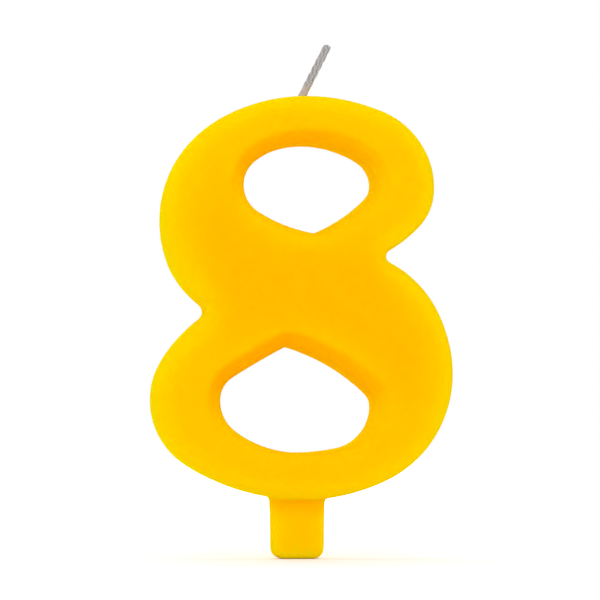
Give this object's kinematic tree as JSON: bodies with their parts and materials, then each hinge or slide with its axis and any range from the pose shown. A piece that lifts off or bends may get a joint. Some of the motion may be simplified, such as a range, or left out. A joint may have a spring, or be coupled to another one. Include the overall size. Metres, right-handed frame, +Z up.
{
  "type": "number birthday candle",
  "caption": "Moulded wax digit eight with two open counters, a flat peg below for pushing into a cake, and a plaited cotton wick leaning out of its crown.",
  "frame": {"origin": "middle of the peg's section at the level of the digit's foot, where the surface of the cake comes", "axes": "+X to the digit's right as it is read, +Y to the flat back, with the moulded front facing -Y, +Z up the digit"},
  "size_m": [0.0486, 0.009, 0.0831],
  "materials": {
    "coloured_wax": "satin paraffin wax, dyed yellow through and through",
    "waxed_cotton": "plaited cotton stiffened with clear wax"
  },
  "bodies": {
    "root": {"wax_body": "coloured_wax", "wick_strand_1": "waxed_cotton", "wick_strand_2": "waxed_cotton", "wick_strand_3": "waxed_cotton"}
  },
  "joints": []
}
